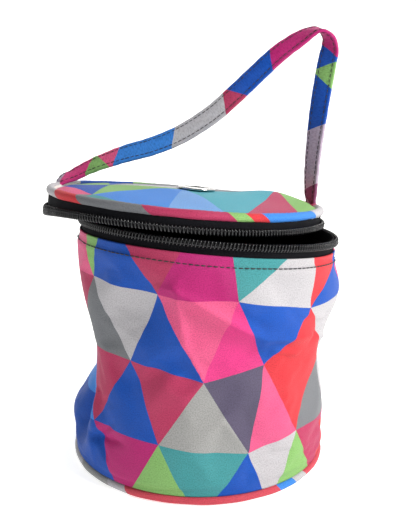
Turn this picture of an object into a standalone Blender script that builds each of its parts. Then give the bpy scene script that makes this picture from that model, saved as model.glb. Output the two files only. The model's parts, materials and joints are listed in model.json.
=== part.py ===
"""Round fabric yarn bag with a zip-around lid, a steel eyelet in the lid and a carrying strap.

World frame: metres, +Z up, origin at the middle of the base where it meets the table, front towards -Y.
The mouth frame is the tilted plane of the zip: its origin is the middle of the zip ring, its +Z is the
height above the line where the two coils meet, and its angles run anticlockwise from +X.
All sizes below are in millimetres and are scaled to metres where they are used.
"""

import math

import bmesh
import bpy
from mathutils import Matrix, Vector

MM = 0.001

# ---- driving dimensions -------------------------------------------------------------------------
GAP = 0.3                        # clearance kept between touching pieces
CLOTH = 0.8                      # printed cloth with its coating
LINING = 0.6                     # thin black lining cloth

BASE_RADIUS = 59.4               # ring that the base welt follows
WELT_RADIUS = 2.0                # cloth-covered welt, outside
CORD_RADIUS = 1.1                # cord inside the welt
BOARD = 1.5                      # stiffener in the base

MOUTH_CENTRE = Vector((2.5, -1.8, 114.9))
MOUTH_RIGHT_DROP = 4.4           # degrees that the zip plane falls towards +X
MOUTH_REAR_DROP = 6.2            # degrees that it falls towards +Y

ZIP_RADIUS = 62.0                # middle of the zip tape
TAPE = 0.6
COIL_DEPTH = 1.8                 # coil, measured outwards from the tape
COIL_NEAR = 0.8                  # coil edges, as heights from the chain line
COIL_FAR = 4.2
TAPE_EDGE = 1.3
FOLD_HEIGHT = -6.0               # top edge of the wall cloth, below the chain line
TAPE_TAIL = -13.5                # hidden edge of the lower tape
NECK_HEIGHT = -14.5              # the wall is straight from here up, where it lies against the tape

HINGE_HALF_ANGLE = 28.0          # the zip stops this far on each side of the rear (+Y)
REAR_ANGLE = 90.0

LID_SHIFT = -10.0                # the open lid sits off centre, towards -X
LID_RADIUS = 61.6                # ring that the lid welt follows
LID_WELT_HEIGHT = 8.6
LID_CROWN = 5.0                  # rise of the padded lid at its middle
LID_TOP = 9.0                    # top of the lid cloth at its edge
TAPE_SHELF = 5.6                 # the upper tape ends here, under the lid lining
FOAM = 1.1
HINGE_HEIGHT = 7.5                # fold line of the hinge cloth
HINGE_RADIUS = 64.3              # middle of the hinge cloth

EYELET_X = 4.0                   # eyelet, from the middle of the lid
EYELET_BORE = 4.9
EYELET_BARREL = 5.35
EYELET_FLANGE = 8.7
EYELET_HOLE = 5.7                # hole cut in the cloth and foam

STRAP_WIDTH = 9.0
STRAP_THICK = 2.0
STRAP_AXIS_Y = 13.5
STRAP_AXIS_HEIGHT = 14.5

SLIDER_PARK = 124.5              # degrees: just past the hinge cloth, rear left
SLIDER_LENGTH = 12.0
SLIDER_HALF = 5.0
SLIDER_FLANGE = 0.5
PULL_LENGTH = 24.0
PIVOT_RADIUS = 66.95             # pull pivot, from the middle of the mouth

RING_STEPS = 48
WALL_ROWS = 8

# Soft dents of the standing wall: middle angle, middle height (0 foot, 1 mouth), angle width, height
# width and depth. The wall is cloth with nothing inside, so it slumps between its two stiff rings.
DENTS = [
    (178.0, 0.62, 30.0, 0.34, 7.5),
    (-6.0, 0.50, 24.0, 0.18, 5.5),
    (-100.0, 0.70, 18.0, 0.16, 3.5),
    (58.0, 0.42, 22.0, 0.22, 4.0),
    (120.0, 0.70, 24.0, 0.22, 4.0),
]
WAIST = 2.0                      # the wall also draws in a little at half height

PALETTE = {
    "print": ((0.55, 0.16, 0.33, 1), 0.75, 0.0),
    "lining": ((0.012, 0.012, 0.014, 1), 0.8, 0.0),
    "board": ((0.75, 0.75, 0.72, 1), 0.6, 0.0),
    "cord": ((0.8, 0.79, 0.76, 1), 0.9, 0.0),
    "tape": ((0.010, 0.010, 0.012, 1), 0.85, 0.0),
    "coil": ((0.015, 0.015, 0.018, 1), 0.35, 0.0),
    "foam": ((0.8, 0.8, 0.78, 1), 0.9, 0.0),
    "steel": ((0.75, 0.75, 0.77, 1), 0.18, 1.0),
    "zinc": ((0.10, 0.10, 0.11, 1), 0.3, 1.0),
}


# ---- frames, materials and helpers --------------------------------------------------------------
def clear_scene():
    for obj in list(bpy.data.objects):
        bpy.data.objects.remove(obj)


def mouth_matrix():
    turn = Matrix.Rotation(math.radians(MOUTH_RIGHT_DROP), 4, "Y")
    turn = turn @ Matrix.Rotation(math.radians(-MOUTH_REAR_DROP), 4, "X")
    return Matrix.Translation(MOUTH_CENTRE) @ turn


def material(name):
    found = bpy.data.materials.get(name)
    if found:
        return found
    colour, roughness, metallic = PALETTE[name]
    made = bpy.data.materials.new(name)
    made.use_nodes = True
    shader = made.node_tree.nodes["Principled BSDF"]
    shader.inputs["Base Color"].default_value = colour
    shader.inputs["Roughness"].default_value = roughness
    shader.inputs["Metallic"].default_value = metallic
    return made


def empty(name, parent=None, location=(0, 0, 0)):
    made = bpy.data.objects.new(name, None)
    bpy.context.scene.collection.objects.link(made)
    made.parent = parent
    made.location = Vector(location) * MM
    return made


def object_from(bm, name, finish, parent=None, smooth=True):
    """Turns a bmesh drawn in millimetres into an object under its parent, keeping it where it was drawn."""
    bmesh.ops.recalc_face_normals(bm, faces=bm.faces)
    bmesh.ops.scale(bm, vec=(MM, MM, MM), verts=bm.verts)
    mesh = bpy.data.meshes.new(name)
    bm.to_mesh(mesh)
    bm.free()
    if smooth:
        mesh.shade_smooth()
        mesh.set_sharp_from_angle(angle=math.radians(40))
    mesh.materials.append(material(finish))
    made = bpy.data.objects.new(name, mesh)
    bpy.context.scene.collection.objects.link(made)
    made.parent = parent
    return made


def hang(obj, pivot):
    """Parents an object drawn in the mouth frame to a pivot in that frame, without moving it."""
    obj.parent = pivot
    obj.location = -pivot.location
    return obj


def revolve(profile, steps=RING_STEPS, start=0.0, sweep=360.0, closed=True):
    """Spins a profile of (radius, height) points about Z. A part turn keeps its two end faces."""
    bm = bmesh.new()
    verts = [bm.verts.new((r, 0, h)) for r, h in profile]
    edges = [bm.edges.new(pair) for pair in zip(verts, verts[1:])]
    if closed:
        edges.append(bm.edges.new((verts[-1], verts[0])))
    geometry = verts + edges
    if sweep < 360:
        geometry.append(bm.faces.new(verts))
    bmesh.ops.rotate(bm, verts=verts, matrix=Matrix.Rotation(math.radians(start), 3, "Z"))
    bmesh.ops.spin(bm, geom=geometry, axis=(0, 0, 1), steps=steps, angle=math.radians(sweep))
    bmesh.ops.remove_doubles(bm, verts=bm.verts, dist=0.001)
    return bm


def shift(bm, x=0.0, y=0.0, z=0.0):
    bmesh.ops.translate(bm, vec=(x, y, z), verts=bm.verts)
    return bm


def rectangle(r0, r1, h0, h1):
    return [(r0, h0), (r1, h0), (r1, h1), (r0, h1)]


def arc(radius, start, end, count, centre=(0, 0)):
    angles = [math.radians(start + (end - start) * i / (count - 1)) for i in range(count)]
    return [(centre[0] + radius * math.cos(a), centre[1] + radius * math.sin(a)) for a in angles]


def box(name, low, high, finish, bevel=0.0):
    bm = bmesh.new()
    bmesh.ops.create_cube(bm, size=1)
    size = [b - a for a, b in zip(low, high)]
    middle = [(a + b) / 2 for a, b in zip(low, high)]
    bmesh.ops.scale(bm, vec=size, verts=bm.verts)
    bmesh.ops.translate(bm, vec=middle, verts=bm.verts)
    if bevel:
        bmesh.ops.bevel(bm, geom=list(bm.edges), offset=bevel, segments=1, affect="EDGES")
    return object_from(bm, name, finish, smooth=False)


def combine(target, tool, operation):
    """Cuts or joins with a Boolean; the tool stays in the file as a hidden guide."""
    tool.parent = target.parent
    tool.location = target.location
    tool.hide_render = True
    tool.display_type = "WIRE"
    change = target.modifiers.new(operation.lower() + "_" + tool.name, "BOOLEAN")
    change.operation = operation
    change.object = tool
    return target


# ---- base ---------------------------------------------------------------------------------------
def disc(name, radius, bottom, top, finish):
    bm = bmesh.new()
    bmesh.ops.create_cone(
        bm, cap_ends=True, segments=RING_STEPS, radius1=radius, radius2=radius, depth=top - bottom
    )
    return object_from(shift(bm, z=(top + bottom) / 2), name, finish)


def welt(name, ring_radius, height):
    """Cloth folded round a cord: an open C in section, its slit towards the inside of the seam."""
    outside = arc(WELT_RADIUS, -150, 150, 9, (ring_radius, height))
    inside = arc(CORD_RADIUS + GAP, 150, -150, 6, (ring_radius, height))
    bm = revolve(outside + inside, steps=40)
    return bm, name


def base_parts():
    disc("base_panel", BASE_RADIUS - WELT_RADIUS - GAP, 0.0, CLOTH, "print")
    board_bottom = CLOTH + GAP
    board_top = board_bottom + BOARD
    disc("base_board", BASE_RADIUS - WELT_RADIUS - 2 * GAP, board_bottom, board_top, "board")
    lining_bottom = board_top + GAP
    disc("base_lining", BASE_RADIUS - WELT_RADIUS - GAP, lining_bottom, lining_bottom + LINING, "lining")
    height = WELT_RADIUS + 0.05
    bm, name = welt("base_welt", BASE_RADIUS, height)
    object_from(bm, name, "print")
    bm = revolve(arc(CORD_RADIUS, 0, 300, 6, (BASE_RADIUS, height)), steps=40)
    object_from(bm, "base_welt_cord", "cord")


# ---- wall ---------------------------------------------------------------------------------------
def smooth_step(value):
    value = min(1.0, max(0.0, value))
    return value * value * (3 - 2 * value)


def dent_depth(angle, height):
    """How far the wall lies inside its straight run, at an angle in degrees and a height from 0 to 1."""
    depth = WAIST * math.sin(math.pi * height)
    for middle, level, width, reach, deep in DENTS:
        turn = (angle - middle + 180) % 360 - 180
        depth += deep * math.exp(-((turn / width) ** 2) - ((height - level) / reach) ** 2)
    return depth * smooth_step(height / 0.18) * smooth_step((1 - height) / 0.16)


def wall_point(angle, row, inset):
    """A point of the wall, inset from its outer face.

    Row 0 is the level foot, row WALL_ROWS the neck, and one row more is the head, straight above the
    neck in the zip plane, so that the cloth lies flat against the zip tape.
    """
    turn = math.radians(angle)
    out = Vector((math.cos(turn), math.sin(turn), 0))
    head_radius = ZIP_RADIUS + TAPE / 2 + 0.4 + CLOTH
    if row > WALL_ROWS:
        return mouth_matrix() @ (out * (head_radius - inset) + Vector((0, 0, FOLD_HEIGHT)))
    foot_height = 2 * WELT_RADIUS + 0.05 + GAP
    foot = out * (BASE_RADIUS + 0.8 - inset) + Vector((0, 0, foot_height))
    neck = mouth_matrix() @ (out * (head_radius - inset) + Vector((0, 0, NECK_HEIGHT)))
    height = row / WALL_ROWS
    return foot.lerp(neck, height) - out * dent_depth(angle, height)


def wall_shell(name, inset, thickness, finish):
    """A closed tube between the base welt and the zip: an outer and an inner skin joined at both ends."""
    bm = bmesh.new()
    skins = []
    for depth in (inset, inset + thickness):
        rows = []
        for row in range(WALL_ROWS + 2):
            angles = [360 * step / RING_STEPS for step in range(RING_STEPS)]
            rows.append([bm.verts.new(wall_point(angle, row, depth)) for angle in angles])
        skins.append(rows)
    outer, inner = skins
    loops = outer + inner[::-1]
    for first, second in zip(loops, loops[1:] + loops[:1]):
        for step in range(RING_STEPS):
            after = (step + 1) % RING_STEPS
            bm.faces.new((first[step], first[after], second[after], second[step]))
    return object_from(bm, name, finish)


def wall_parts():
    wall_shell("wall_cloth", 0.0, CLOTH, "print")
    wall_shell("wall_lining", 2 * CLOTH + TAPE, LINING, "lining")


# ---- zip ----------------------------------------------------------------------------------------
def zip_sweep():
    start = REAR_ANGLE + HINGE_HALF_ANGLE
    return start, 360 - 2 * HINGE_HALF_ANGLE


def coil_profile(sign):
    """The flat oval outline of a coil, lying on the outside of its tape."""
    inner = ZIP_RADIUS + TAPE / 2 + GAP
    outer = inner + COIL_DEPTH
    round_off = 0.7
    near, far = COIL_NEAR, COIL_FAR
    points = [
        (inner, near), (inner, far), (outer - round_off, far),
        (outer, far - round_off), (outer, near + round_off), (outer - round_off, near),
    ]
    return [(r, sign * h) for r, h in points]


def tape_profile(low, high):
    return rectangle(ZIP_RADIUS - TAPE / 2, ZIP_RADIUS + TAPE / 2, low, high)


def drift(bm, low=None, high=None):
    """Moves the upper half of the open zip with the lid, easing to nothing at the two zip ends."""
    for vert in bm.verts:
        angle = math.degrees(math.atan2(vert.co.y, vert.co.x))
        from_rear = abs((angle - REAR_ANGLE + 180) % 360 - 180)
        share = smooth_step((from_rear - 42) / 43)
        if low is not None:
            climb = smooth_step((vert.co.z - low) / (high - low))
            share = share + (1 - share) * climb
        vert.co.x += LID_SHIFT * share
    return bm


def zip_parts(mouth, lid_pivot):
    start, sweep = zip_sweep()
    bm = revolve(tape_profile(TAPE_TAIL, -TAPE_EDGE), start=start, sweep=sweep)
    object_from(bm, "zip_tape_lower", "tape", mouth)
    bm = revolve(coil_profile(-1), start=start, sweep=sweep)
    object_from(bm, "zip_coil_lower", "coil", mouth)
    bend = SLIDER_HALF + 0.25
    tape_rows = [TAPE_EDGE, bend, TAPE_SHELF]
    inner = [(ZIP_RADIUS - TAPE / 2, h) for h in tape_rows]
    outer = [(ZIP_RADIUS + TAPE / 2, h) for h in reversed(tape_rows)]
    bm = drift(revolve(inner + outer, start=start, sweep=sweep), bend, TAPE_SHELF)
    hang(object_from(bm, "zip_tape_upper", "tape"), lid_pivot)
    bm = drift(revolve(coil_profile(1), start=start, sweep=sweep))
    hang(object_from(bm, "zip_coil_upper", "coil"), lid_pivot)


def slider_parts(mouth):
    """The slider is drawn at angle 0: X outwards, Y along the zip, Z across it."""
    pivot = empty("slider_pivot", mouth)
    pivot.rotation_euler.z = math.radians(SLIDER_PARK)
    half_long = SLIDER_LENGTH / 2
    plate_in = ZIP_RADIUS + TAPE / 2 + GAP + COIL_DEPTH + 0.4
    plate_out = plate_in + 1.0
    body = box("zip_slider", (plate_in, -half_long, -SLIDER_HALF), (plate_out, half_long, SLIDER_HALF), "zinc", 0.25)
    body.parent = pivot
    back_out = ZIP_RADIUS - TAPE / 2 - 0.8
    blocks = [("back_plate", (back_out - 1.0, -half_long, -4.6), (back_out, half_long, 4.6), 0.25)]
    for side in (-1, 1):
        low, high = sorted((side * (SLIDER_HALF - SLIDER_FLANGE), side * SLIDER_HALF))
        flange = ("flange", (ZIP_RADIUS + 0.7, -half_long + 0.3, low), (plate_in + 0.3, half_long - 0.3, high), 0.0)
        blocks.append(flange)
        low, high = sorted((side * 3.7, side * 4.6))
        blocks.append(("bridge_leg", (plate_out - 0.3, low, -1.1), (plate_out + 3.2, high, 1.1), 0.0))
    blocks.append(("post", (back_out - 0.3, 1.4, -0.5), (plate_in + 0.3, 5.2, 0.5), 0.0))
    blocks.append(("bridge", (plate_out + 2.3, -4.6, -1.1), (plate_out + 3.3, 4.6, 1.1), 0.0))
    for name, low, high, bevel in blocks:
        combine(body, box(name, low, high, "zinc", bevel), "UNION")
    pull_part(pivot)


def pull_part(slider_pivot):
    """A stamped tab that lies back along -Y, its eye round the slider's bridge."""
    pivot = empty("pull_pivot", slider_pivot, (PIVOT_RADIUS, 0, 0))
    half_wide, half_thick, bar = 2.7, 0.55, 0.6
    end_centre = PULL_LENGTH - half_wide
    outline = [(bar, -half_wide), (bar, half_wide)]
    outline += [(-end_centre - x, y) for y, x in arc(half_wide, 0, 180, 9)]
    bm = bmesh.new()
    face = bm.faces.new([bm.verts.new((-half_thick, y, z)) for y, z in outline])
    made = bmesh.ops.extrude_face_region(bm, geom=[face])
    moved = [item for item in made["geom"] if isinstance(item, bmesh.types.BMVert)]
    bmesh.ops.translate(bm, vec=(2 * half_thick, 0, 0), verts=moved)
    tab = object_from(bm, "slider_pull", "zinc", pivot, smooth=False)
    eye = box("eye_cutter", (-2, -5.4, -1.5), (2, -bar, 1.5), "zinc")
    combine(tab, eye, "DIFFERENCE")
    bm = bmesh.new()
    bmesh.ops.create_cone(bm, cap_ends=True, segments=16, radius1=1.2, radius2=1.2, depth=4)
    bmesh.ops.rotate(bm, verts=bm.verts, matrix=Matrix.Rotation(math.pi / 2, 3, "Y"))
    hole = object_from(shift(bm, y=-end_centre), "hole_cutter", "zinc")
    combine(tab, hole, "DIFFERENCE")


# ---- hinge and lid ------------------------------------------------------------------------------
def hinge_part(mouth):
    """The strip of printed cloth that joins the lid to the wall between the two zip ends."""
    start = REAR_ANGLE - HINGE_HALF_ANGLE
    low, high = HINGE_RADIUS - CLOTH / 2, HINGE_RADIUS + CLOTH / 2
    profile = rectangle(low, high, FOLD_HEIGHT - 5, TAPE_SHELF)
    bm = revolve(profile, steps=12, start=start, sweep=2 * HINGE_HALF_ANGLE)
    object_from(bm, "hinge_cloth", "print", mouth)


def crowned_disc(name, radius, top, thickness, finish, lid_pivot):
    """A disc with a slight crown and a hole for the eyelet, one layer of the lid."""
    rows = [0.0, 0.2, 0.4, 0.6, 0.8, 1.0]
    upper = [(radius * r, top + LID_CROWN * (1 - r * r)) for r in rows]
    lower = [(r, h - thickness) for r, h in reversed(upper)]
    bm = revolve(upper + lower, steps=40, closed=False)
    layer = hang(object_from(shift(bm, x=LID_SHIFT), name, finish), lid_pivot)
    bm = bmesh.new()
    bmesh.ops.create_cone(bm, cap_ends=True, segments=32, radius1=EYELET_HOLE, radius2=EYELET_HOLE, depth=12)
    cutter = object_from(shift(bm, x=LID_SHIFT + EYELET_X, z=top), name + "_hole", finish)
    return combine(layer, cutter, "DIFFERENCE")


def lid_parts(lid_pivot):
    panel_radius = LID_RADIUS - WELT_RADIUS - GAP
    crowned_disc("lid_cloth", panel_radius, LID_TOP, CLOTH, "print", lid_pivot)
    foam_top = LID_TOP - CLOTH - GAP
    crowned_disc("lid_foam", panel_radius - 1, foam_top, FOAM, "foam", lid_pivot)
    lining_top = foam_top - FOAM - GAP
    crowned_disc("lid_lining", panel_radius, lining_top, LINING, "lining", lid_pivot)
    bm, name = welt("lid_welt", LID_RADIUS, LID_WELT_HEIGHT)
    hang(object_from(shift(bm, x=LID_SHIFT), name, "print"), lid_pivot)
    bm = revolve(arc(CORD_RADIUS, 0, 300, 6, (LID_RADIUS, LID_WELT_HEIGHT)), steps=40)
    hang(object_from(shift(bm, x=LID_SHIFT), "lid_welt_cord", "cord"), lid_pivot)
    fall = LID_CROWN * ((EYELET_X + EYELET_FLANGE) / panel_radius) ** 2
    eyelet_parts(lid_pivot, LID_TOP + LID_CROWN, lining_top - LINING + LID_CROWN - fall)


def eyelet_parts(lid_pivot, cloth_top, lining_bottom):
    """A rolled steel eyelet through the lid, and the washer that it is clinched over underneath."""
    seat = cloth_top + 0.15
    roll = 0.45
    washer_top = lining_bottom - 0.15
    lip = washer_top - 0.5 - 0.2
    profile = [(EYELET_BORE, lip - 0.1), (EYELET_BORE, seat + 0.5)]
    profile += arc(1.3, 170, 100, 4, (EYELET_BORE + 1.3, seat - 0.15))
    profile += [(EYELET_FLANGE - 0.5, seat + 0.85), (EYELET_FLANGE, seat + roll), (EYELET_FLANGE - 0.1, seat)]
    profile += [(EYELET_BARREL, seat), (EYELET_BARREL, lip), (6.7, lip), (6.9, lip - roll), (EYELET_BORE + 0.6, lip - 0.6)]
    bm = shift(revolve(profile, steps=32), x=LID_SHIFT + EYELET_X)
    hang(object_from(bm, "eyelet", "steel"), lid_pivot)
    bm = revolve(rectangle(EYELET_BARREL + 0.3, EYELET_FLANGE - 0.1, washer_top - 0.5, washer_top), steps=32)
    hang(object_from(shift(bm, x=LID_SHIFT + EYELET_X), "eyelet_washer", "steel"), lid_pivot)


# ---- carrying strap -----------------------------------------------------------------------------
# Middle line of the strap from its right root to its left root, in the mouth frame but measured from
# the middle of the lid, and the turn of its flat side: 0 lies along Y, 90 faces the front.
STRAP_RIGHT_ROOT = [((59.6, 13.5, 11.0), 18), ((58.6, 13.2, 14.2), 20)]
STRAP_ARCH = [
    ((58.4, 12.9, 17.9), 21), ((58.1, 11.7, 22.2), 21), ((57.3, 8.7, 38.2), 28), ((57.2, 4.3, 57.9), 32),
    ((57.9, 0.8, 75.8), 34), ((58.3, -0.7, 83.7), 30), ((56.3, -1.2, 88.9), 14), ((51.2, -1.3, 90.7), -10),
    ((44.2, -0.9, 86.3), -42), ((35.2, -0.4, 78.7), -58), ((25.7, 0.5, 68.2), -64), ((17.2, 1.4, 58.6), -66),
    ((7.7, 3.1, 48.7), -66), ((-5.3, 5.7, 38.7), -64), ((-18.3, 7.7, 31.8), -58), ((-30.8, 9.5, 27.0), -40),
    ((-41.3, 11.0, 22.3), -16), ((-47.8, 12.3, 18.6), -8), ((-52.0, 13.1, 15.7), -4),
]
STRAP_LEFT_ROOT = [((-53.4, 13.2, 14.8), -4), ((-57.0, 13.5, 13.0), 0), ((-60.5, 13.5, 11.9), 0)]
STRAP_NECK = 0.66                # share of its width that the strap keeps where it folds at its roots


def strap_section(half_wide):
    """The flat section of the strap, with its corners cut off."""
    half_thick, corner = STRAP_THICK / 2, 0.5
    return [
        (-half_wide, 0), (-half_wide + corner, -half_thick), (half_wide - corner, -half_thick),
        (half_wide, 0), (half_wide - corner, half_thick), (-half_wide + corner, half_thick),
    ]


def strap_solid(name, stations, pivot, necks):
    """Sweeps the strap's section along its stations; necks names the end stations where it folds."""
    points = [Vector(place) + Vector((LID_SHIFT, 0, 0)) for place, _ in stations]
    last = len(stations) - 1
    bm = bmesh.new()
    rings = []
    for index, (point, (_, turn)) in enumerate(zip(points, stations)):
        at_neck = (index == 0 and "first" in necks) or (index == last and "last" in necks)
        section = strap_section(STRAP_WIDTH / 2 * (STRAP_NECK if at_neck else 1))
        before = points[max(index - 1, 0)]
        after = points[min(index + 1, last)]
        along = (after - before).normalized()
        across = (Vector((0, 1, 0)) - along * along.y).normalized()
        across = Matrix.Rotation(math.radians(turn), 3, along) @ across
        out = along.cross(across)
        rings.append([bm.verts.new(point + across * a + out * b) for a, b in section])
    for first, second in zip(rings, rings[1:]):
        for step in range(len(section)):
            after = (step + 1) % len(section)
            bm.faces.new((first[step], first[after], second[after], second[step]))
    bm.faces.new(rings[0])
    bm.faces.new(rings[-1])
    bmesh.ops.triangulate(bm, faces=bm.faces)
    return hang(object_from(bm, name, "print", smooth=False), pivot)


def strap_parts(lid_pivot, strap_pivot):
    strap_solid("strap_root_right", STRAP_RIGHT_ROOT, lid_pivot, ("last",))
    strap_solid("strap_root_left", STRAP_LEFT_ROOT, lid_pivot, ("first",))
    strap_solid("carry_strap", STRAP_ARCH, strap_pivot, ("first", "last"))


# ---- assembly -----------------------------------------------------------------------------------
def build():
    clear_scene()
    mouth = empty("mouth")
    frame = mouth_matrix()
    mouth.location = frame.translation * MM
    mouth.rotation_euler = frame.to_euler()
    lid_pivot = empty("lid_pivot", mouth, (0, HINGE_RADIUS, HINGE_HEIGHT))
    strap_pivot = empty("strap_pivot", mouth, (LID_SHIFT, STRAP_AXIS_Y, STRAP_AXIS_HEIGHT))
    base_parts()
    wall_parts()
    zip_parts(mouth, lid_pivot)
    slider_parts(mouth)
    hinge_part(mouth)
    lid_parts(lid_pivot)
    strap_parts(lid_pivot, strap_pivot)


build()
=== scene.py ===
"""Looks of the round yarn bag: printed cloth, zip, eyelet and strap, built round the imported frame.

Lengths in this script are millimetres until a mesh is made. The mouth frame is the tilted plane of the
zip: its +Z is the height above the line where the coils meet. Around the bag, an angle is measured from
the front (-Y) and grows towards +X.
"""

import json
import math

import bmesh
import bpy
from mathutils import Matrix, Vector


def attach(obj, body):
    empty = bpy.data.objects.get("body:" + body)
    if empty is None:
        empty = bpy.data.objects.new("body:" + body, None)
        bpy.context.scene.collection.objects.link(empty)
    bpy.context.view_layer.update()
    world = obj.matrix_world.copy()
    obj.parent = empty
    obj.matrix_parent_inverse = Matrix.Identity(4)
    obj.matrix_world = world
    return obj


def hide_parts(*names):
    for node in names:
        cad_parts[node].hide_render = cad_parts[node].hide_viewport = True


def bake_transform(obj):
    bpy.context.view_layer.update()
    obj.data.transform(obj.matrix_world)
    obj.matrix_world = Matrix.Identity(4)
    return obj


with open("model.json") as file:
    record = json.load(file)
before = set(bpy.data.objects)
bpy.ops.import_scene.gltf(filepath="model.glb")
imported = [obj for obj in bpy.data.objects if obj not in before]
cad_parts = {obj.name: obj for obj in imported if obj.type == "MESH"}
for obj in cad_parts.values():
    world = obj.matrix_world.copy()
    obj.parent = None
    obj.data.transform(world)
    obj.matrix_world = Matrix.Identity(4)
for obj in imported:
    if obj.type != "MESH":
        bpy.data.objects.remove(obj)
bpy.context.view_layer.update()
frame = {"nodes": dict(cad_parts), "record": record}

MM = 0.001
JOINTS = {joint["name"]: joint for joint in frame["record"]["behaviour"]["joints"]}

# ---- sizes, as in the frame ---------------------------------------------------------------------
BASE_RADIUS = 59.4               # ring of the base welt
WELT_RADIUS = 2.0
WELT_GIRTH = 12.6
BASE_PANEL_RADIUS = 57.2
BASE_LINING_RADIUS = 57.4
FOOT_HEIGHT = 4.2                # the wall cloth starts here
FOOT_RADIUS = 60.2
HEAD_RADIUS = 63.4               # outer face of the wall at the zip
FOLD_HEIGHT = -7.0               # its top edge, in the mouth frame
CLOTH = 0.8
LINING = 0.5
LINING_INSET = 2.3               # of the wall lining, from the outer face of the wall
ZIP_RADIUS = 62.0                # middle of the zip tape
TAPE = 0.6
COIL_RADIUS = 63.5               # middle of the coil's depth
COIL_HALF_DEPTH = 0.9
COIL_MIDDLE = 2.6                # middle of the coil, above or below the chain line
COIL_HALF_HEIGHT = 1.75
COIL_WIRE = 0.36
COIL_PITCH = 1.5
HINGE_HALF = 28.0                # the hinge cloth spans this many degrees each side of the rear
HINGE_RADIUS = 64.3
HINGE_FOOT = -11                 # lower edge of the hinge cloth
HINGE_LAP = 1.2                  # degrees by which it laps over each end of the zip
HINGE_STEP = 1.13                # between points along it
LID_SHIFT = -10.0
LID_RADIUS = 61.6                # ring of the lid welt
LID_WELT_HEIGHT = 8.6
LID_TOP = 9.0
LID_CROWN = 5.0
LID_UNDERSIDE = 5.9
EYELET_SEAT = LID_TOP + LID_CROWN + 0.15
EYELET_X = 4.0                   # from the middle of the lid
EYELET_BORE = 4.9
EYELET_FLANGE = 8.7
STRAP_WIDTH = 9.0
STRAP_THICK = 2.0

# ---- colours of the print -----------------------------------------------------------------------
INKS = {
    "blue": (0.012, 0.105, 0.560),
    "sky": (0.060, 0.300, 0.900),
    "magenta": (0.620, 0.028, 0.220),
    "hot": (0.900, 0.060, 0.290),
    "pink": (0.950, 0.130, 0.310),
    "rose": (0.600, 0.055, 0.150),
    "red": (0.830, 0.050, 0.065),
    "salmon": (0.780, 0.090, 0.130),
    "azure": (0.200, 0.450, 0.920),
    "teal": (0.075, 0.380, 0.400),
    "aqua": (0.080, 0.480, 0.600),
    "green": (0.310, 0.610, 0.185),
    "white": (0.660, 0.640, 0.670),
    "pale": (0.440, 0.440, 0.430),
    "grey": (0.240, 0.250, 0.270),
    "slate": (0.135, 0.115, 0.190),
    # The next two inks are white and pink with painted shade, as they look on the strap's shaded inner face.
    "lilac": (0.620, 0.500, 0.640),
    "mauve": (0.300, 0.080, 0.190),
}

# Each row of the print is a band of triangles. The first list holds those that point up and the second
# those that point down, from the rear seam round by the left, the front and the right, back to the seam.
WALL_PRINT = [
    ("pink teal sky blue blue green blue green red white hot",
     "green rose blue blue magenta teal white rose sky grey blue"),
    ("blue white sky sky blue pale pink grey green blue rose",
     "rose sky sky rose rose slate red white teal magenta green"),
    ("white magenta teal grey blue hot red blue pink grey green",
     "rose green rose white pink blue white teal red blue sky"),
    ("green sky pink blue magenta white blue green grey red teal",
     "red white green rose teal red pink magenta blue white rose"),
]
LID_PRINT = [
    ("pink white teal azure rose green", "blue grey sky aqua green magenta"),
    ("blue pink green grey red blue", "green blue white blue pink sky"),
    ("blue green grey red blue teal", "teal blue white blue pink sky"),
    ("magenta white blue teal rose green", "white rose green pink grey red"),
]
# The last three colours of each row, at the right root, are white and pink with painted shade.
STRAP_PRINT = [
    ("hot green sky sky white white rose blue magenta magenta magenta green blue lilac lilac mauve",
     "hot pink sky sky white white blue blue magenta magenta blue blue blue lilac lilac lilac"),
]


# Each colour of a welt starts at an angle, and runs on to the next.
BASE_WELT_PRINT = [
    (-180, "sky"), (-150, "green"), (-118, "blue"), (-88, "white"), (-62, "pale"), (-41, "white"),
    (-32, "salmon"), (37, "sky"), (47, "white"), (55, "salmon"), (88, "teal"), (120, "magenta"),
    (150, "pale"),
]
LID_WELT_PRINT = [
    (-180, "green"), (-150, "blue"), (-118, "white"), (-63, "red"), (-45, "grey"), (-15, "rose"),
    (17, "green"), (24, "red"), (31, "sky"), (62, "white"), (97, "pink"), (132, "teal"), (158, "white"),
]


# ---- frames and meshes --------------------------------------------------------------------------
def mouth_frame():
    up = Vector(JOINTS["zip_slide"]["axis"])
    right = -Vector(JOINTS["lid_hinge"]["axis"])
    matrix = Matrix((right, up.cross(right), up)).transposed().to_4x4()
    matrix.translation = Vector(JOINTS["zip_slide"]["pos_m"]) / MM
    return matrix


MOUTH = mouth_frame()


def ring_point(angle, radius, height=0.0):
    """A point at an angle from the front, before any frame is applied."""
    turn = math.radians(angle)
    return Vector((radius * math.sin(turn), -radius * math.cos(turn), height))


def ease(value):
    value = min(1.0, max(0.0, value))
    return value * value * (3 - 2 * value)


def bump(distance, reach):
    return math.exp(-((distance / reach) ** 2))


def wrap(angle):
    return (angle + 180) % 360 - 180


def swell(angle, middle, reach, size):
    """A smooth swelling round the bag, full at its middle angle."""
    return size * bump(wrap(angle - middle), reach)


def around(step, steps):
    """Angle of a step of a full turn that starts and ends at the rear seam."""
    return 360 * step / steps - 180


def add_object(name, data):
    obj = bpy.data.objects.new(name, data)
    bpy.context.scene.collection.objects.link(obj)
    return obj


def mesh_object(name, verts, faces, uvs=None, smooth=True):
    """A mesh from points in millimetres; uvs gives each face's corners on the named UV maps."""
    mesh = bpy.data.meshes.new(name)
    mesh.from_pydata([Vector(v) * MM for v in verts], [], faces)
    for layer, corners in (uvs or {}).items():
        data = mesh.uv_layers.new(name=layer).data
        flat = [corner for face in corners for corner in face]
        for loop, corner in zip(data, flat):
            loop.uv = corner
    if smooth:
        mesh.shade_smooth()
    return add_object(name, mesh)


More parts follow.
